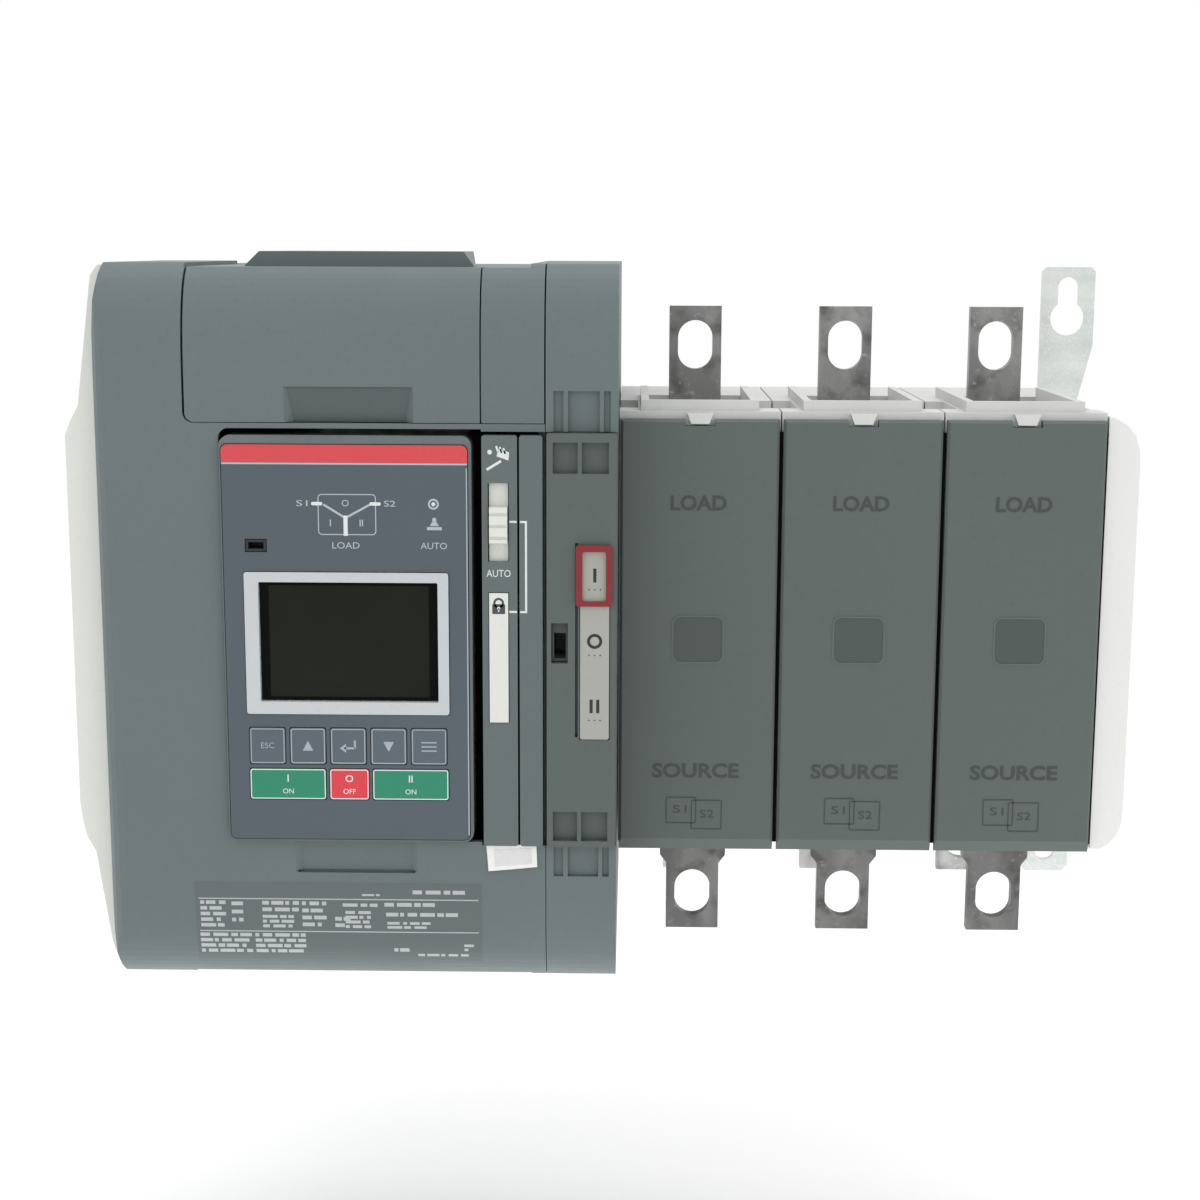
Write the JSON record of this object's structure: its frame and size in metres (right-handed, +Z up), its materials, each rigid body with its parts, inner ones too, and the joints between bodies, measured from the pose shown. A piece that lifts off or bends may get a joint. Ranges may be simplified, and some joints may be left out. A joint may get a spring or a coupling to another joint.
{
  "type": "automatic transfer switch",
  "caption": "Motor-driven three-pole changeover switch with a control panel with screen, position pointer, slotted terminal tabs and a plate for wall mounting.",
  "frame": {"origin": "on the mounting plane behind the main shaft, where the mechanism meets the pole stack", "axes": "+X from the mechanism towards the poles, +Y from the front into the wall, +Z up towards the load terminals"},
  "size_m": [0.4388, 0.186, 0.2978],
  "materials": {
    "zinc_steel": "bright zinc plate, slightly cloudy",
    "housing_plastic": "fine moulded texture",
    "cover_plastic": "fine moulded texture",
    "light_plastic": "light grey moulded plastic",
    "white_plastic": "satin moulded plastic",
    "signal_red": "satin red",
    "panel_film": "satin printed film",
    "panel_case": "satin moulded plastic",
    "key_blue": "satin printed film",
    "key_green": "satin printed film",
    "key_red": "satin printed film",
    "screen_glass": "dark display window",
    "dark_plastic": "dark moulded plastic",
    "circuit_board": "green solder mask",
    "tinned_copper": "dull tin plate with handling marks",
    "steel": "machined",
    "brass": "machined"
  },
  "bodies": {
    "frame": {"base_plate": "zinc_steel", "mechanism_housing": "housing_plastic", "auxiliary_cover": "housing_plastic", "mechanism_column": "housing_plastic", "back_cover": "dark_plastic", "handle_socket": "dark_plastic", "screen_module": "dark_plastic", "programming_port": "dark_plastic", "left_end_cover": "light_plastic", "right_end_cover": "light_plastic", "indicator_panel": "cover_plastic", "mode_panel": "cover_plastic", "trim_strip": "cover_plastic", "position_strip": "white_plastic", "screen_frame": "white_plastic", "control_panel_case": "panel_case", "control_panel_front": "panel_film", "screen_glass": "screen_glass", "control_board": "circuit_board", "control_terminals": "circuit_board", "drive_motor": "steel", "pole_body_1": "light_plastic", "pole_cover_1": "cover_plastic", "load_terminal_1": "tinned_copper", "source_1_terminal_1": "tinned_copper", "source_2_terminal_1": "tinned_copper", "pole_body_2": "light_plastic", "pole_cover_2": "cover_plastic", "load_terminal_2": "tinned_copper", "source_1_terminal_2": "tinned_copper", "source_2_terminal_2": "tinned_copper", "pole_body_3": "light_plastic", "pole_cover_3": "cover_plastic", "load_terminal_3": "tinned_copper", "source_1_terminal_3": "tinned_copper", "source_2_terminal_3": "tinned_copper"},
    "terminal_flap": {"terminal_flap": "housing_plastic"},
    "mode_slider": {"mode_slider": "white_plastic"},
    "padlock_tab": {"padlock_tab": "white_plastic"},
    "position_pointer": {"position_pointer": "signal_red"},
    "shaft": {"main_shaft": "steel", "shaft_gear": "brass", "contact_blade_1": "tinned_copper", "contact_blade_2": "tinned_copper", "contact_blade_3": "tinned_copper"},
    "pinion": {"motor_pinion": "steel"},
    "key_escape": {"key_escape": "key_blue"},
    "key_up": {"key_up": "key_blue"},
    "key_enter": {"key_enter": "key_blue"},
    "key_down": {"key_down": "key_blue"},
    "key_menu": {"key_menu": "key_blue"},
    "button_source_1_on": {"button_source_1_on": "key_green"},
    "button_off": {"button_off": "key_red"},
    "button_source_2_on": {"button_source_2_on": "key_green"}
  },
  "joints": [
    {"name": "terminal_flap_hinge", "type": "hinge", "parent": "frame", "child": "terminal_flap", "pos_m": [-0.1097, -0.1506, 0.1485], "axis": [-1, 0, 0], "range_deg": [0, 90]},
    {"name": "mode_slide", "type": "slide", "parent": "frame", "child": "mode_slider", "axis": [0, 0, 1], "range_m": [-0.0055, 0.0065]},
    {"name": "padlock_tab_slide", "type": "slide", "parent": "frame", "child": "padlock_tab", "axis": [0, -1, 0], "range_m": [0, 0.014]},
    {"name": "main_shaft_turn", "type": "hinge", "parent": "frame", "child": "shaft", "pos_m": [0, -0.072, 0], "axis": [1, 0, 0], "range_deg": [0, 90]},
    {"name": "pinion_turn", "type": "hinge", "parent": "frame", "child": "pinion", "pos_m": [-0.053, -0.0315, 0], "axis": [1, 0, 0], "range_deg": [-270.5, 0.5]},
    {"name": "pointer_slide", "type": "slide", "parent": "frame", "child": "position_pointer", "axis": [0, 0, -1], "range_m": [0, 0.0521]},
    {"name": "key_escape_press", "type": "slide", "parent": "frame", "child": "key_escape", "axis": [0, 1, 0], "range_m": [0, 0.0006], "stiffness_N_per_m": 600},
    {"name": "key_up_press", "type": "slide", "parent": "frame", "child": "key_up", "axis": [0, 1, 0], "range_m": [0, 0.0006], "stiffness_N_per_m": 600},
    {"name": "key_enter_press", "type": "slide", "parent": "frame", "child": "key_enter", "axis": [0, 1, 0], "range_m": [0, 0.0006], "stiffness_N_per_m": 600},
    {"name": "key_down_press", "type": "slide", "parent": "frame", "child": "key_down", "axis": [0, 1, 0], "range_m": [0, 0.0006], "stiffness_N_per_m": 600},
    {"name": "key_menu_press", "type": "slide", "parent": "frame", "child": "key_menu", "axis": [0, 1, 0], "range_m": [0, 0.0006], "stiffness_N_per_m": 600},
    {"name": "button_source_1_on_press", "type": "slide", "parent": "frame", "child": "button_source_1_on", "axis": [0, 1, 0], "range_m": [0, 0.0006], "stiffness_N_per_m": 600},
    {"name": "button_off_press", "type": "slide", "parent": "frame", "child": "button_off", "axis": [0, 1, 0], "range_m": [0, 0.0006], "stiffness_N_per_m": 600},
    {"name": "button_source_2_on_press", "type": "slide", "parent": "frame", "child": "button_source_2_on", "axis": [0, 1, 0], "range_m": [0, 0.0006], "stiffness_N_per_m": 600}
  ],
  "couplings": [
    {"joint": "pinion_turn", "follows": "main_shaft_turn", "ratio": -3},
    {"joint": "pointer_slide", "follows": "main_shaft_turn", "m_per_rad": 0.0331}
  ]
}
